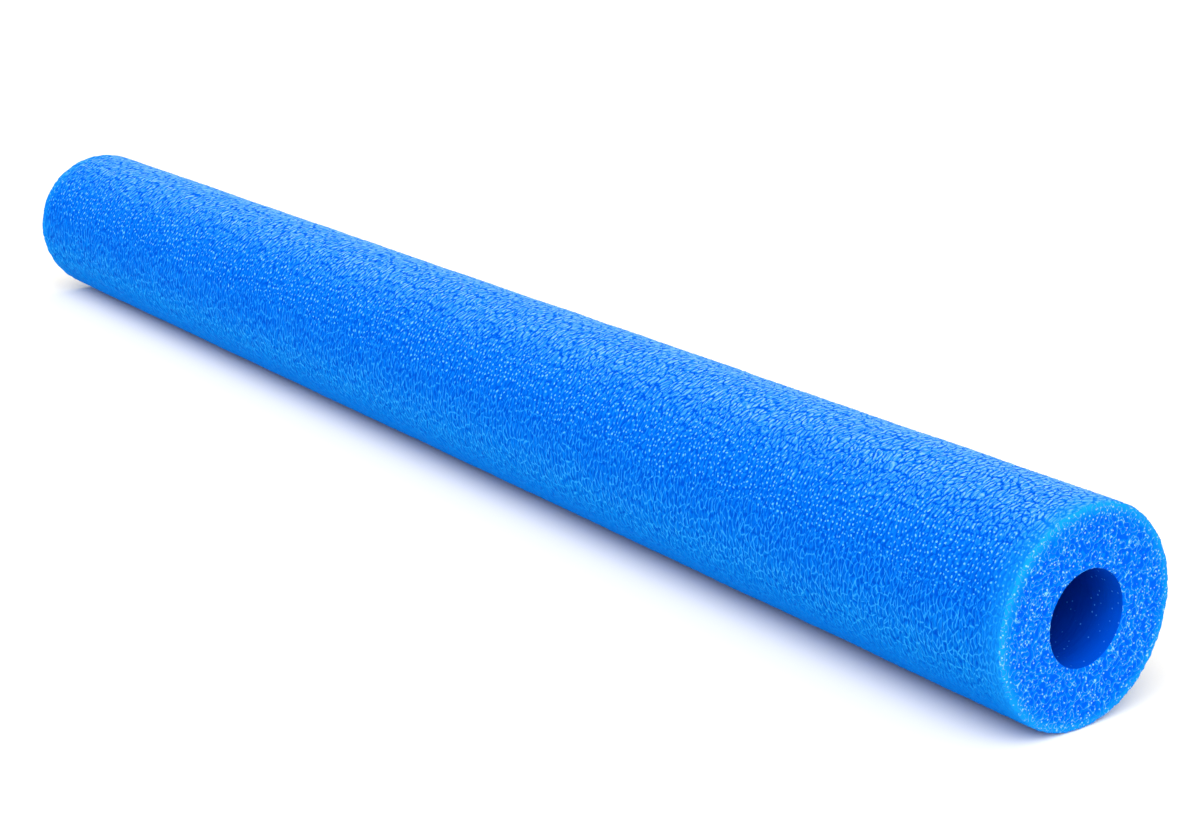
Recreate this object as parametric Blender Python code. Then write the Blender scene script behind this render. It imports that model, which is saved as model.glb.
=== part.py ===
"""Foam pool noodle: a short length of extruded polyethylene foam tube, open from end to end.

The tube lies on its side along X and stands on Z = 0, with the middle of its length at X = 0.
The whole object is one extrusion: its skin, its foam and the wall of its bore are one material.
"""

import math

import bmesh
import bpy
from mathutils import Vector

# Driving dimensions, in metres
LENGTH = 0.645
OUTER_DIAMETER = 0.065
BORE_DIAMETER = 0.028
# The cut ends are rounded over at the skin, and only broken at the mouth of the bore
END_EDGE_RADIUS = 0.0015
BORE_MOUTH_RADIUS = 0.0008
# The foam flattens along the line that it lies on, by this much of its thickness
RESTING_FLAT_DEPTH = 0.0004

# Facets round the tube, and across each rounded edge
SIDES = 96
END_EDGE_FACETS = 5
BORE_MOUTH_FACETS = 2
SMOOTH_UP_TO = math.radians(40)

# Azure foam, matte, as sRGB shares of red, green and blue
FOAM_COLOUR_SHARES = (0.06, 0.47, 0.97)
FOAM_ROUGHNESS = 0.55

OUTER_RADIUS = OUTER_DIAMETER / 2
BORE_RADIUS = BORE_DIAMETER / 2
RESTING_DEPTH_BELOW_AXIS = OUTER_RADIUS - RESTING_FLAT_DEPTH


def linear(share):
    """One sRGB share as linear light."""
    return share / 12.92 if share <= 0.04045 else ((share + 0.055) / 1.055) ** 2.4


def foam_material():
    """Matte closed-cell polyethylene foam, coloured through."""
    material = bpy.data.materials.new("azure_polyethylene_foam")
    material.use_nodes = True
    shader = material.node_tree.nodes["Principled BSDF"]
    colour = [linear(share) for share in FOAM_COLOUR_SHARES]
    shader.inputs["Base Color"].default_value = (*colour, 1)
    shader.inputs["Roughness"].default_value = FOAM_ROUGHNESS
    shader.inputs["Metallic"].default_value = 0
    material.diffuse_color = (*colour, 1)
    return material


def turned_wall(mesh):
    """The tube's wall, square at its corners: half a lengthwise section, turned round X."""
    end = LENGTH / 2
    section = ((-end, OUTER_RADIUS), (end, OUTER_RADIUS), (end, BORE_RADIUS), (-end, BORE_RADIUS))
    corners = [mesh.verts.new((x, 0, radius)) for x, radius in section]
    for corner, following in zip(corners, corners[1:] + corners[:1]):
        mesh.edges.new((corner, following))
    bmesh.ops.spin(
        mesh,
        geom=mesh.verts[:] + mesh.edges[:],
        cent=(0, 0, 0),
        axis=(1, 0, 0),
        angle=math.tau,
        steps=SIDES,
        use_merge=True,
    )
    bmesh.ops.recalc_face_normals(mesh, faces=mesh.faces[:])


def corner_rings(mesh, radius, other_radius):
    """The edges of the two rings round the cut ends that lie nearer to this radius than to the other."""
    halfway = (radius + other_radius) / 2
    found = []
    for edge in mesh.edges:
        first, second = edge.verts
        along = abs(first.co.x - second.co.x)
        distances = [math.hypot(vert.co.y, vert.co.z) for vert in edge.verts]
        on_this_side = all((distance > halfway) == (radius > halfway) for distance in distances)
        if along < LENGTH / 2 and on_this_side:
            found.append(edge)
    return found


def round_corners(mesh, radius, other_radius, width, facets):
    """Rounds both rings at this radius over by the given width."""
    bmesh.ops.bevel(
        mesh,
        geom=corner_rings(mesh, radius, other_radius),
        offset=width,
        offset_type="OFFSET",
        affect="EDGES",
        segments=facets,
        profile=0.5,
        material=-1,
    )


def flatten_underside(mesh):
    """Cuts the tube off level along the line that it lies on, and closes the cut with one flat face."""
    cut = bmesh.ops.bisect_plane(
        mesh,
        geom=mesh.verts[:] + mesh.edges[:] + mesh.faces[:],
        plane_co=(0, 0, -RESTING_DEPTH_BELOW_AXIS),
        plane_no=(0, 0, -1),
        clear_outer=True,
    )
    rim = [item for item in cut["geom_cut"] if isinstance(item, bmesh.types.BMEdge)]
    bmesh.ops.edgeloop_fill(mesh, edges=rim)
    bmesh.ops.recalc_face_normals(mesh, faces=mesh.faces[:])


def foam_tube():
    """The whole noodle as one object, lying on its resting flat."""
    mesh = bmesh.new()
    turned_wall(mesh)
    round_corners(mesh, OUTER_RADIUS, BORE_RADIUS, END_EDGE_RADIUS, END_EDGE_FACETS)
    round_corners(mesh, BORE_RADIUS, OUTER_RADIUS, BORE_MOUTH_RADIUS, BORE_MOUTH_FACETS)
    flatten_underside(mesh)
    data = bpy.data.meshes.new("foam_tube")
    mesh.to_mesh(data)
    mesh.free()
    data.shade_smooth()
    data.set_sharp_from_angle(angle=SMOOTH_UP_TO)
    data.materials.append(foam_material())
    tube = bpy.data.objects.new("foam_tube", data)
    tube.location = Vector((0, 0, RESTING_DEPTH_BELOW_AXIS))
    bpy.context.collection.objects.link(tube)


for leftover in list(bpy.data.objects):
    bpy.data.objects.remove(leftover, do_unlink=True)
foam_tube()
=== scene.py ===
import math

import bmesh
import bpy
import numpy as np
from mathutils import Matrix, Vector


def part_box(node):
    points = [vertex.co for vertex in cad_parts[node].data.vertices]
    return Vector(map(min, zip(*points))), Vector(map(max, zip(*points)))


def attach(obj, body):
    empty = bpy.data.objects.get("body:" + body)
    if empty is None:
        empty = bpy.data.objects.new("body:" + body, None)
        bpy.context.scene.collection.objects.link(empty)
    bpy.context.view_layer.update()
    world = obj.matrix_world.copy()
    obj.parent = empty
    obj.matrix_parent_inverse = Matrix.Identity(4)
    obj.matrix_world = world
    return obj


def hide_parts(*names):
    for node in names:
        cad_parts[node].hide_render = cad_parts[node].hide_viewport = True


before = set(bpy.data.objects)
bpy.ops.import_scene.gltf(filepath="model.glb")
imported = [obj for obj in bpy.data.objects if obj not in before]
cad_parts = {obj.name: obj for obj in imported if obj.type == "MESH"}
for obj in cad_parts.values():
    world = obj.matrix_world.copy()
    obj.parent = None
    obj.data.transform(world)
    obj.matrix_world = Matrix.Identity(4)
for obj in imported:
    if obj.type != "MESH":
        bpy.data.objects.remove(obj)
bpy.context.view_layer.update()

# The foam tube
# One length of closed-cell polyethylene foam, extruded through a ring die that blows the bore with
# it, then cut square to length. Skin, cut ends and bore wall are surfaces of the same foam.
millimetre = 0.001
low, high = (Vector(corner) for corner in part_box("foam_tube"))
outer_radius = (high.y - low.y) / 2
axis_height = high.z - outer_radius
half_length = (high.x - low.x) / 2
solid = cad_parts["foam_tube"]
bore_radius = min(math.hypot(v.co.y, v.co.z - axis_height) for v in solid.data.vertices)
end_edge_radius = 1.5 * millimetre
bore_mouth_radius = 0.8 * millimetre

# Mesh of the tube, fine enough for its relief: half a lengthwise section turned round X
sectors = 400
end_edge_facets = 7
bore_mouth_facets = 4
coarsest_step = 1 * millimetre
cuts_along_skin = (36, 36)
cuts_across_wall = 63
hair = 0.001 * millimetre


def from_axis(vert):
    """Distance of a corner from the tube's axis, while that still lies along X."""
    return math.hypot(vert.co.y, vert.co.z)


def corner_rings(mesh, radius):
    """The edges of both rings of corners at this distance from the axis."""
    return [
        edge
        for edge in mesh.edges
        if all(abs(from_axis(vert) - radius) < hair for vert in edge.verts)
        and edge.calc_length() < half_length
    ]


def cut_long_edges(mesh, belongs, cuts):
    """Cuts the edges whose two corners belong, and that are longer than the coarsest step."""
    edges = [
        edge
        for edge in mesh.edges
        if all(belongs(vert) for vert in edge.verts) and edge.calc_length() > coarsest_step
    ]
    bmesh.ops.subdivide_edges(mesh, edges=edges, cuts=cuts, use_grid_fill=True)


tube_mesh = bmesh.new()
section = [(-half_length, outer_radius), (half_length, outer_radius)]
section += [(half_length, bore_radius), (-half_length, bore_radius)]
corners = [tube_mesh.verts.new((x, 0, radius)) for x, radius in section]
for first, second in zip(corners, corners[1:] + corners[:1]):
    tube_mesh.edges.new((first, second))
bmesh.ops.spin(
    tube_mesh,
    geom=tube_mesh.verts[:] + tube_mesh.edges[:],
    axis=(1, 0, 0),
    angle=math.tau,
    steps=sectors,
    use_merge=True,
)
for radius, rounding, facets in (
    (outer_radius, end_edge_radius, end_edge_facets),
    (bore_radius, bore_mouth_radius, bore_mouth_facets),
):
    bmesh.ops.bevel(
        tube_mesh,
        geom=corner_rings(tube_mesh, radius),
        offset=rounding,
        offset_type="OFFSET",
        affect="EDGES",
        segments=facets,
        profile=0.5,
        material=-1,
    )
for cuts in cuts_along_skin:
    cut_long_edges(tube_mesh, lambda vert: from_axis(vert) > outer_radius - hair, cuts)
cut_long_edges(tube_mesh, lambda vert: abs(vert.co.x) > half_length - hair, cuts_across_wall)
bmesh.ops.recalc_face_normals(tube_mesh, faces=tube_mesh.faces[:])
bmesh.ops.translate(tube_mesh, vec=(0, 0, axis_height), verts=tube_mesh.verts[:])
smooth_foam = bpy.data.meshes.new("smooth_foam")
tube_mesh.to_mesh(smooth_foam)
tube_mesh.free()
smooth_foam.shade_smooth()
foam = bpy.data.objects.new("noodle_foam", smooth_foam)
bpy.context.collection.objects.link(foam)


def add_node(tree, kind, *values, **settings):
    """Adds a node with its settings, links or sets its inputs in order, and gives its output."""
    node = tree.nodes.new(kind if kind.startswith("Geometry") else "ShaderNode" + kind)
    for name, value in settings.items():
        setattr(node, name, value)
    for socket, value in zip([socket for socket in node.inputs if socket.enabled], values):
        if isinstance(value, bpy.types.NodeSocket):
            tree.links.new(value, socket)
        else:
            socket.default_value = value
    return next(socket for socket in node.outputs if socket.enabled)


# Node settings and places on the foam, shared by its relief and its materials
eased = {"interpolation_type": "SMOOTHSTEP"}
blend = {"data_type": "RGBA"}
spots = {"feature": "F1", "voronoi_dimensions": "2D"}
bubbles = {"feature": "DISTANCE_TO_EDGE", "voronoi_dimensions": "2D"}
bubble_growth_per_metre = 0.9


def tube_place(tree, position):
    """Position from the tube's middle, and the part of it that lies across the tube."""
    centred = add_node(tree, "VectorMath", position, (0, 0, axis_height), operation="SUBTRACT")
    return centred, add_node(tree, "VectorMath", centred, (0, 1, 1), operation="MULTIPLY")


def distance_from_middle(tree, centred):
    """Distance from the tube's middle, along the tube."""
    along = add_node(tree, "SeparateXYZ", centred).node.outputs["X"]
    return add_node(tree, "Math", along, operation="ABSOLUTE")


def angle_round(tree, across):
    """Angle round the tube in radians: 0 on top, and more towards the back."""
    out = add_node(tree, "SeparateXYZ", across).node.outputs
    return add_node(tree, "Math", out["Y"], out["Z"], operation="ARCTAN2")


def wandered(tree, place, by, size, reach):
    """The place moved about softly, by noise of this size, at most about this far."""
    shift = add_node(tree, "TexNoise", by, 1 / size, 1.0).node.outputs["Color"]
    offset = add_node(
        tree, "VectorMath", shift, (reach * 2,) * 3, (-reach,) * 3, operation="MULTIPLY_ADD"
    )
    return add_node(tree, "VectorMath", place, offset, operation="ADD")


def skin_place(tree, centred, angle):
    """Place on the skin laid flat, along and round the tube.

    The foam's bubbles grow from the near end to the far one, so the flat place shrinks with them.
    """
    along = add_node(tree, "SeparateXYZ", centred).node.outputs["X"]
    growth_in_middle = 1 + half_length * bubble_growth_per_metre
    growth = add_node(
        tree, "Math", along, -bubble_growth_per_metre, growth_in_middle, operation="MULTIPLY_ADD"
    )
    grown = add_node(tree, "Math", growth, math.e, operation="LOGARITHM")
    grown = add_node(tree, "Math", grown, -1 / bubble_growth_per_metre, operation="MULTIPLY")
    around = add_node(tree, "Math", angle, outer_radius, operation="MULTIPLY")
    around = add_node(tree, "Math", around, growth, operation="DIVIDE")
    flat = add_node(tree, "CombineXYZ", grown, around, 0.0)
    for size, reach in ((15, 2.0), (2.4, 0.55), (1.0, 0.2)):
        flat = wandered(tree, flat, centred, size * millimetre, reach * millimetre)
    return flat


def scaled(tree, place, along, around, shift=0.0):
    """The place counted in steps of so many millimetres, along the tube and round or across it."""
    steps = (1 / (along * millimetre), 1 / (around * millimetre), 1 / (around * millimetre))
    return add_node(tree, "VectorMath", place, steps, (shift,) * 3, operation="MULTIPLY_ADD")


def plates(tree, place):
    """Plump plates, longer round the tube than along it: the distance to the nearest furrow."""
    return add_node(tree, "TexVoronoi", scaled(tree, place, 2.3, 5.0), 1.0, **bubbles)


def crinkles(tree, place):
    """Finer creases between and across the plates: the distance to the nearest crease."""
    return add_node(tree, "TexVoronoi", scaled(tree, place, 1.4, 3.2, 1.7), 1.0, **bubbles)


def creping(tree, place):
    """Thin ridges 1.6 mm apart that run round the tube and fork: 0 in the troughs, 0.5 on them."""
    flat = scaled(tree, place, 3.2, 5.2)
    phase = add_node(tree, "TexGabor", flat, 1.0, 2.0, 0.7, 0.0, gabor_type="2D").node.outputs["Phase"]
    return add_node(tree, "Math", phase, 0.5, operation="PINGPONG")


def curls(tree, centred):
    """The thin curled walls of the cut bubbles, where a soft noise crosses its middle value."""
    place = wandered(tree, centred, centred, millimetre, 0.3 * millimetre)
    value = add_node(tree, "TexNoise", place, 1 / (1.7 * millimetre), 0.0)
    from_wall = add_node(tree, "Math", value, 0.5, operation="SUBTRACT")
    return add_node(tree, "Math", from_wall, operation="ABSOLUTE")


def relief():
    """Moves the tube's surface in and out: plates on the skin, open cells in the cut ends."""
    tree = bpy.data.node_groups.new("foam_relief", "GeometryNodeTree")
    tree.interface.new_socket("Geometry", in_out="INPUT", socket_type="NodeSocketGeometry")
    tree.interface.new_socket("Geometry", in_out="OUTPUT", socket_type="NodeSocketGeometry")
    start = tree.nodes.new("NodeGroupInput")
    end = tree.nodes.new("NodeGroupOutput")
    position = add_node(tree, "GeometryNodeInputPosition")
    normal = add_node(tree, "GeometryNodeInputNormal")
    centred, across = tube_place(tree, position)
    radius = add_node(tree, "VectorMath", across, operation="LENGTH")
    from_middle = distance_from_middle(tree, centred)
    flat = skin_place(tree, centred, angle_round(tree, across))

    lump = 0.12 * millimetre
    lumps = add_node(tree, "TexNoise", centred, 1 / (30 * millimetre), 2.0)
    skin = add_node(tree, "MapRange", lumps, 0.3, 0.7, -lump, lump)
    for height, start_at, end_at, sunk, proud in (
        (plates(tree, flat), 0.0, 0.22, -0.14, 0.04),
        (crinkles(tree, flat), 0.0, 0.25, -0.08, 0.04),
        (creping(tree, flat), 0.0, 0.5, -0.06, 0.06),
    ):
        step = add_node(
            tree, "MapRange", height, start_at, end_at, sunk * millimetre, proud * millimetre, **eased
        )
        skin = add_node(tree, "Math", skin, step, operation="ADD")
    skin_starts = outer_radius - end_edge_radius * 1.2, outer_radius - end_edge_radius / 4
    on_skin = add_node(tree, "MapRange", radius, *skin_starts)

    wall_height, cell_depth = 0.08 * millimetre, 0.12 * millimetre
    cut = curls(tree, centred)
    cut = add_node(tree, "MapRange", cut, 0.02, 0.12, wall_height, -cell_depth, **eased)
    rim = outer_radius - end_edge_radius
    inside_rim = add_node(tree, "MapRange", radius, rim - millimetre, rim + millimetre, 1.0, 0.5)
    cut = add_node(tree, "Math", cut, inside_rim, operation="MULTIPLY")
    cut_starts = half_length - end_edge_radius, half_length - end_edge_radius / 4
    on_cut = add_node(tree, "MapRange", from_middle, *cut_starts)

    moved_out = add_node(tree, "Math", skin, on_skin, operation="MULTIPLY")
    moved_out = add_node(tree, "Math", cut, on_cut, moved_out, operation="MULTIPLY_ADD")
    outside_bore = add_node(tree, "MapRange", radius, bore_radius, bore_radius + bore_mouth_radius)
    moved_out = add_node(tree, "Math", moved_out, outside_bore, operation="MULTIPLY")
    offset = add_node(tree, "VectorMath", normal, moved_out, operation="SCALE")
    moved = tree.nodes.new("GeometryNodeSetPosition")
    tree.links.new(start.outputs[0], moved.inputs["Geometry"])
    tree.links.new(offset, moved.inputs["Offset"])
    tree.links.new(moved.outputs[0], end.inputs[0])
    return tree


foam.modifiers.new("relief", "NODES").node_group = relief()
graph = bpy.context.evaluated_depsgraph_get()
foam_data = bpy.data.meshes.new_from_object(foam.evaluated_get(graph), depsgraph=graph)
foam_data.name = "noodle_foam"
foam.modifiers.clear()
foam.data = foam_data
bpy.data.meshes.remove(smooth_foam)

# The foam flattens where it lies, so nothing reaches below the surface that it lies on
places = np.empty(len(foam_data.vertices) * 3, np.float32)
foam_data.vertices.foreach_get("co", places)
places[2::3] = np.maximum(places[2::3], low.z)
foam_data.vertices.foreach_set("co", places)


def linear(code):
    """An sRGB hex colour as linear light."""
    shares = [int(code[i : i + 2], 16) / 255 for i in (0, 2, 4)]
    return (*[s / 12.92 if s <= 0.04045 else ((s + 0.055) / 1.055) ** 2.4 for s in shares], 1.0)


# Foam scatters nearly all of the light that falls on it, so it has hardly any gloss
foam_roughness = 0.5
foam_specular_level = 0.002


def foam_material(name):
    """A matte foam: its tree, its shader and the position that its pattern reads."""
    material = bpy.data.materials.new(name)
    material.use_nodes = True
    tree = material.node_tree
    shader = tree.nodes["Principled BSDF"]
    shader.inputs["Roughness"].default_value = foam_roughness
    shader.inputs["Specular IOR Level"].default_value = foam_specular_level
    foam_data.materials.append(material)
    return tree, shader, add_node(tree, "TexCoord").node.outputs["Object"]


def finish_foam(tree, shader, tone, height):
    """Links the foam's colour, and a bump for marks too shallow for its mesh, in metres."""
    tree.links.new(tone, shader.inputs["Base Color"])
    strength, distance, filter_width = 1.0, 1.0, 0.1
    bump = add_node(tree, "Bump", strength, distance, filter_width, height)
    tree.links.new(bump, shader.inputs["Normal"])


# Where the middle of the skin's zones of painted light and shade lies, and how far their
# borders wander, in degrees
crown_behind_top = 12.0
zone_wander = 12.0


def crinkled_skin():
    """Closed polyethylene skin, crinkled as it cooled.

    Plates with furrows lie along the top, fine pimples below them, then the thin rims of bubbles.
    Their colour is painted light and shade: a painted sheen on the crown, the top painted lighter
    than the flank, painted shade in the furrows, creases and troughs, painted highlights on the
    banks, pale painted glints on the pimples of the flank, the creases painted pale lower down as
    floor light on the rims of bubbles, and the underside an even painted shade. All are one foam,
    from deep azure in its creases to pale blue on its tips.
    """
    tree, shader, position = foam_material("crinkled_polyethylene_skin")
    centred, across = tube_place(tree, position)
    angle = angle_round(tree, across)
    place = skin_place(tree, centred, angle)
    from_crown = add_node(tree, "Math", angle, operation="DEGREES")
    from_crown = add_node(tree, "Math", from_crown, crown_behind_top, operation="SUBTRACT")
    from_crown = add_node(tree, "Math", from_crown, operation="ABSOLUTE")
    wander = add_node(tree, "TexNoise", centred, 1 / (9 * millimetre), 3.0)
    wander = add_node(tree, "MapRange", wander, 0.0, 1.0, -zone_wander, zone_wander)
    from_crown = add_node(tree, "Math", from_crown, wander, operation="ADD")
    plate, crinkle, crepe = plates(tree, place), crinkles(tree, place), creping(tree, place)

    broken = add_node(tree, "TexNoise", place, 1 / (1.8 * millimetre), 1.0)
    broken = add_node(tree, "MapRange", broken, 0.42, 0.56, 0.0, 1.0, **eased)
    # Masks of the relief's furrows, banks, creases and troughs, which the lightness below paints: shade
    # in the furrows, creases and troughs, highlights on the banks
    furrow = add_node(tree, "MapRange", plate, 0.02, 0.13, 1.0, 0.0, **eased)
    furrow = add_node(tree, "Math", furrow, broken, operation="MULTIPLY")
    bank = add_node(tree, "MapRange", plate, 0.10, 0.18, **eased)
    bank_end = add_node(tree, "MapRange", plate, 0.24, 0.36, 1.0, 0.0, **eased)
    bank = add_node(tree, "Math", bank, bank_end, operation="MULTIPLY")
    crease_here = add_node(tree, "MapRange", crepe, 0.0, 0.7, 1.0, 0.6, **eased)
    crease = add_node(tree, "MapRange", crinkle, 0.02, 0.13, 1.0, 0.0, **eased)
    crease = add_node(tree, "Math", crease, crease_here, operation="MULTIPLY")
    trough = add_node(tree, "MapRange", crepe, 0.05, 0.36, 1.0, 0.0, **eased)
    spot = add_node(tree, "TexVoronoi", scaled(tree, place, 1.4, 1.7, 5.3), 1.0, **spots)
    spot.node.inputs["Randomness"].default_value = 0.65
    chance = add_node(tree, "SeparateXYZ", spot.node.outputs["Color"]).node.outputs["Y"]
    chance = add_node(tree, "MapRange", chance, 0.1, 0.8, 0.5, 1.0)
    pimple = add_node(tree, "MapRange", spot, 0.08, 0.26, 1.0, 0.0, **eased)
    pimple = add_node(tree, "Math", pimple, chance, operation="MULTIPLY")
    # The pimples are bumps all round the tube; only in a band on the flank are they painted pale, as
    # glints of the lamps
    glint_band = add_node(tree, "MapRange", from_crown, 78.0, 94.0, 1.0, 0.0, **eased)
    pimple_glint = add_node(tree, "Math", pimple, glint_band, operation="MULTIPLY")

    # What each mark adds to the lightness, before one angle from the crown and past another. All of it
    # is painted light and shade: a painted sheen on the crown, the top painted lighter and the flank
    # darker as the lamps fall, the low side painted lighter by floor light, painted shade in the
    # troughs and furrows, painted highlights on the banks, creases painted as shade near the top and
    # pale lower down where floor light catches them, and painted glints on the pimples.
    lightness = 0.0
    for share, start_at, end_at, over, under in (
        (1.0, 0.0, 20.0, 0.18, 0.0),
        (1.0, 34.0, 80.0, 0.79, 0.21),
        (1.0, 90.0, 120.0, 0.0, 0.22),
        (trough, 30.0, 80.0, -0.33, -0.2),
        (bank, 20.0, 64.0, 0.3, 0.1),
        (crease, 50.0, 88.0, -0.68, 0.5),
        (furrow, 44.0, 70.0, -0.5, -0.25),
        (pimple_glint, 40.0, 58.0, 0.0, 1.0),
    ):
        strength = add_node(tree, "MapRange", from_crown, start_at, end_at, over, under)
        lightness = add_node(tree, "Math", share, strength, lightness, operation="MULTIPLY_ADD")
    # Under the tube the marks fade into one even, darker tone: painted shade where it faces the floor
    underside_shade = add_node(tree, "MapRange", from_crown, 118.0, 150.0, 0.0, 0.75, **eased)
    lightness = add_node(tree, "Mix", underside_shade, lightness, 0.46)

    shades = ("0050D0", "005CDA", "046AE4", "0E78EC", "2486F4", "3C94FC", "58A4FF", "78B8FF")
    tone = add_node(tree, "ValToRGB", lightness)
    ramp = tone.node.color_ramp.elements
    ramp[0].color, ramp[1].color = linear(shades[0]), linear(shades[-1])
    for step in range(1, len(shades) - 1):
        ramp.new(step / (len(shades) - 1)).color = linear(shades[step])
    # The azure is purer low on the tube, and paler over its last millimetres: a painted glow of light
    # shining through the thin foam by the cut ends
    lower = add_node(tree, "MapRange", from_crown, 45.0, 125.0)
    tone = add_node(tree, "Mix", lower, tone, linear("84FFF2"), blend_type="MULTIPLY", **blend)
    end_glow = half_length - 9 * millimetre, half_length - millimetre
    end_glow = add_node(tree, "MapRange", distance_from_middle(tree, centred), *end_glow, 0.0, 0.5)
    tone = add_node(tree, "Mix", end_glow, tone, linear("1498F8"), **blend)
    height = add_node(tree, "Math", pimple, 0.05 * millimetre, operation="MULTIPLY")
    height = add_node(tree, "Math", crepe, 0.06 * millimetre, height, operation="MULTIPLY_ADD")
    finish_foam(tree, shader, tone, height)


def cut_foam():
    """Sawn foam: open cells whose thin curled walls catch the light.

    Its colour is painted light and shade: pale highlights on and beside the walls, darker shade in
    the cells, pale glints on small specks, and a paler glow by the edge, as of light through the foam.
    """
    tree, shader, position = foam_material("sawn_polyethylene_foam")
    centred, across = tube_place(tree, position)
    radius = add_node(tree, "VectorMath", across, operation="LENGTH")
    curl = curls(tree, centred)
    # Painted light and shade on the cut face: walls and the foam beside them painted pale as highlights
    # where they catch the light, the cells between painted darker as shade
    beside_wall = add_node(tree, "MapRange", curl, 0.015, 0.06, 0.6, 0.0, **eased)
    wall = add_node(tree, "MapRange", curl, 0.007, 0.028, 1.0, 0.0, **eased)
    cell_shade = add_node(tree, "MapRange", curl, 0.10, 0.19, 0.0, 0.7, **eased)
    patchy = add_node(tree, "TexNoise", centred, 1 / (1.6 * millimetre), 1.0)
    wall_here = add_node(tree, "MapRange", patchy, 0.35, 0.6, 0.25, 1.0, **eased)
    lit_wall = add_node(tree, "Math", wall, wall_here, operation="MULTIPLY")
    # Small specks painted pale, as glints
    speck_glint = add_node(tree, "TexVoronoi", scaled(tree, centred, 1.3, 1.3, 2.6), 1.0, feature="F1")
    speck_glint = add_node(tree, "MapRange", speck_glint, 0.12, 0.26, 0.9, 0.0, **eased)
    # Towards the rounded edge the cut face is painted paler, as a glow of light shining through the thin
    # foam there
    edge = outer_radius - end_edge_radius
    edge_glow = add_node(tree, "MapRange", radius, edge - 4 * millimetre, edge, 0.0, 0.5, **eased)
    rim_glow = edge - 2 * millimetre, edge + millimetre
    rim_glow = add_node(tree, "MapRange", radius, *rim_glow, 0.0, 0.6, **eased)
    tone = add_node(tree, "Mix", patchy, linear("0068F4"), linear("0280F8"), **blend)
    for share, colour in (
        (cell_shade, "0050E2"),
        (edge_glow, "0892F8"),
        (rim_glow, "16A0F8"),
        (beside_wall, "0C84F8"),
        (lit_wall, "7CC8FC"),
        (speck_glint, "96D2FC"),
    ):
        tone = add_node(tree, "Mix", share, tone, linear(colour), **blend)
    height = add_node(tree, "Math", wall, 0.12 * millimetre, operation="MULTIPLY")
    finish_foam(tree, shader, tone, height)


def bore_wall():
    """Smooth wall of the blown bore: fine rings, and a few broken bubbles near its mouths.

    Its colour is painted dark as the shade inside the bore, lighter towards the mouths as the
    light that falls in there, and the broken bubbles pale as painted glints.
    """
    tree, shader, position = foam_material("blown_polyethylene_bore")
    centred, across = tube_place(tree, position)
    from_middle = distance_from_middle(tree, centred)
    rings = add_node(tree, "VectorMath", centred, (1, 0.15, 0.15), operation="MULTIPLY")
    rings = add_node(tree, "TexNoise", rings, 1 / (0.9 * millimetre), 2.0)
    # Towards each mouth the wall is painted lighter, as light falling into the bore
    mouth_light = half_length - 15 * millimetre, half_length
    mouth_light = add_node(tree, "MapRange", from_middle, *mouth_light, 0.0, 0.6, **eased)
    # Broken bubbles near the mouths, painted pale as glints where light reaches into the bore
    speck_glint = add_node(tree, "TexVoronoi", scaled(tree, centred, 2.2, 2.2, 4.1), 1.0, feature="F1")
    speck_glint = add_node(tree, "MapRange", speck_glint, 0.06, 0.17, 0.75, 0.0, **eased)
    speck_here = half_length - 34 * millimetre, half_length - 12 * millimetre
    speck_here = add_node(tree, "MapRange", from_middle, *speck_here)
    speck_glint = add_node(tree, "Math", speck_glint, speck_here, operation="MULTIPLY")
    # The wall's rings, in deep navy: painted shade inside the bore
    tone = add_node(tree, "Mix", rings, linear("002A98"), linear("003CB0"), **blend)
    for share, colour in ((mouth_light, "0058DC"), (speck_glint, "3C88E8")):
        tone = add_node(tree, "Mix", share, tone, linear(colour), **blend)
    height = add_node(tree, "Math", rings, 0.05 * millimetre, operation="MULTIPLY")
    finish_foam(tree, shader, tone, height)


crinkled_skin()
cut_foam()
bore_wall()

# Which of the three surfaces each face is on
SKIN, CUT, BORE = 0, 1, 2
middles = np.empty(len(foam_data.polygons) * 3, np.float32)
foam_data.polygons.foreach_get("center", middles)
middles = middles.reshape(-1, 3)
middle_radius = np.hypot(middles[:, 1], middles[:, 2] - axis_height)
surface = np.full(len(middles), SKIN, np.int32)
surface[np.abs(middles[:, 0]) > half_length - end_edge_radius / 2] = CUT
surface[middle_radius < bore_radius + bore_mouth_radius / 8] = BORE
foam_data.polygons.foreach_set("material_index", surface)

# The flat map of the foam: its skin in two lengths, one over the other, and a column beside them
# with the two cut ends and the bore
side = 4 * math.pi * outer_radius
gap = 0.004
corner_of = np.empty(len(foam_data.loops), np.int32)
foam_data.loops.foreach_get("vertex_index", corner_of)
face_of = np.repeat(np.arange(len(middles)), [polygon.loop_total for polygon in foam_data.polygons])
x, y, z = places.reshape(-1, 3)[corner_of].T
turn = np.arctan2(y, z - axis_height)
middle_turn = np.arctan2(middles[:, 1], middles[:, 2] - axis_height)[face_of]
turn += math.tau * np.round((middle_turn - turn) / math.tau)
round_share = turn / math.tau + 0.5
second_half = middles[face_of, 0] < 0
on_far_end = second_half.astype(np.float32)
skin_u = np.where(second_half, x + half_length, x) / side
skin_v = (round_share + on_far_end) / 2
column = half_length / side + gap
face_u = column + (y + outer_radius) / side
face_v = (z - axis_height + outer_radius) / side + on_far_end * (2 * outer_radius / side + gap)
bore_start = 2 * (2 * outer_radius / side + gap)
bore_u = column + round_share * (1 - column - gap)
bore_v = bore_start + (x / half_length + 1) / 2 * (1 - bore_start)
kind = surface[face_of]
flat_map = np.empty((len(corner_of), 2), np.float32)
flat_map[:, 0] = np.choose(kind, (skin_u, face_u, bore_u))
flat_map[:, 1] = np.choose(kind, (skin_v, face_v, bore_v)) * (1 - gap)
foam_data.uv_layers.new(name="OFBake").data.foreach_set("uv", flat_map.ravel())
foam_data.update()
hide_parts("foam_tube")
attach(foam, "root")

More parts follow.
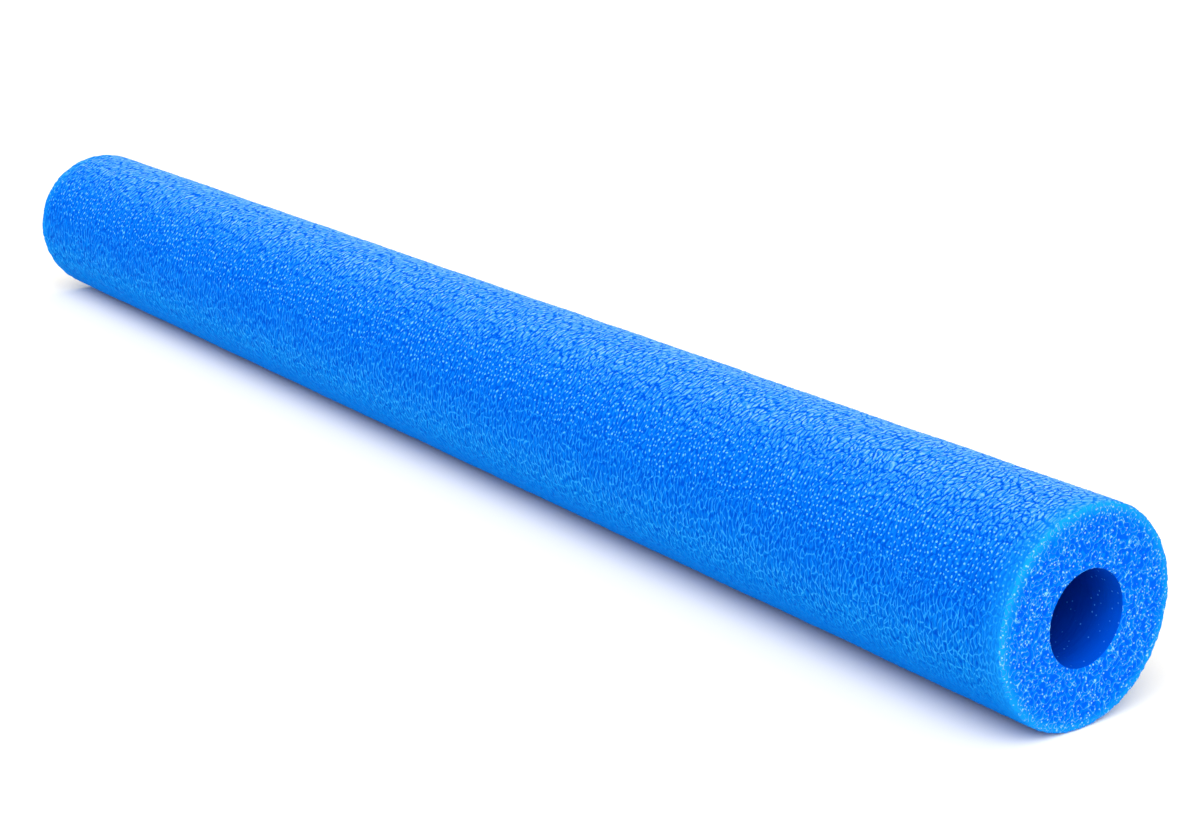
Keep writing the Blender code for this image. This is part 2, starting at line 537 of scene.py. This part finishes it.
# Floor
# A wide sheet of matte white studio paper, just below the tube.
floor_half_side = 12
floor_gap = 0.1 * millimetre
floor_mesh = bmesh.new()
bmesh.ops.create_grid(floor_mesh, x_segments=1, y_segments=1, size=floor_half_side)
bmesh.ops.translate(floor_mesh, vec=(0, 0, low.z - floor_gap), verts=floor_mesh.verts[:])
floor_data = bpy.data.meshes.new("floor")
floor_mesh.to_mesh(floor_data)
floor_mesh.free()
floor = bpy.data.objects.new("floor", floor_data)
bpy.context.collection.objects.link(floor)
paper = bpy.data.materials.new("matte_studio_paper")
paper.use_nodes = True
paper_shader = paper.node_tree.nodes["Principled BSDF"]
paper_shader.inputs["Base Color"].default_value = linear("FFFCF2")
paper_shader.inputs["Roughness"].default_value = 0.9
paper_shader.inputs["Specular IOR Level"].default_value = 0.0
floor_data.materials.append(paper)

# Light
# A white room that is dimmer for its light than for its look, with wide soft lamps over it.
room_light = 0.26
world = bpy.data.worlds.new("studio")
world.use_nodes = True
room = world.node_tree
ray = add_node(room, "LightPath").node
seen = add_node(
    room, "Math", ray.outputs["Is Camera Ray"], ray.outputs["Is Glossy Ray"], operation="MAXIMUM"
)
seen = add_node(room, "Math", seen, ray.outputs["Is Transmission Ray"], operation="MAXIMUM")
strength = add_node(room, "Math", seen, 1 - room_light, room_light, operation="MULTIPLY_ADD")
room.links.new(strength, room.nodes["Background"].inputs["Strength"])
room.nodes["Background"].inputs["Color"].default_value = (1, 1, 1, 1)
bpy.context.scene.world = world


def softbox(name, share, wide, towards_end, towards_camera):
    """A wide soft lamp, tilted from straight overhead by two angles in degrees."""
    lamp = bpy.data.lights.new(name, "SUN")
    lamp.energy = share * math.pi
    lamp.angle = math.radians(wide)
    placed = bpy.data.objects.new(name, lamp)
    tilt = Matrix.Rotation(math.radians(towards_end), 4, "Y")
    placed.matrix_world = tilt @ Matrix.Rotation(math.radians(towards_camera), 4, "X")
    bpy.context.collection.objects.link(placed)


softbox("overhead_softbox", 0.47, 120, 16, -11)
softbox("front_softbox", 0.83, 60, 34, 31)

# Camera
# Stands in front of the tube, past its near end and a little above it, and looks back along it. The
# near end's middle is given as the camera sees it, in outer radii to the right, up and backwards.
camera_data = bpy.data.cameras.new("camera")
camera_data.sensor_width = 36
camera_data.lens = 66.1
camera_data.clip_start = 0.05
camera_data.clip_end = 60
camera = bpy.data.objects.new("camera", camera_data)
view_heading = math.radians(54.44)
view_pitch = math.radians(16.53)
near_end_in_radii = Vector((3.99873, -1.73099, -18.05569))
turned = Matrix.Rotation(view_heading, 4, "Z") @ Matrix.Rotation(math.pi / 2 - view_pitch, 4, "X")
near_end = Vector((half_length, 0, axis_height))
camera.matrix_world = Matrix.Translation(near_end - turned @ (near_end_in_radii * outer_radius)) @ turned
bpy.context.collection.objects.link(camera)
bpy.context.scene.camera = camera
bpy.context.scene.view_settings.view_transform = "Standard"
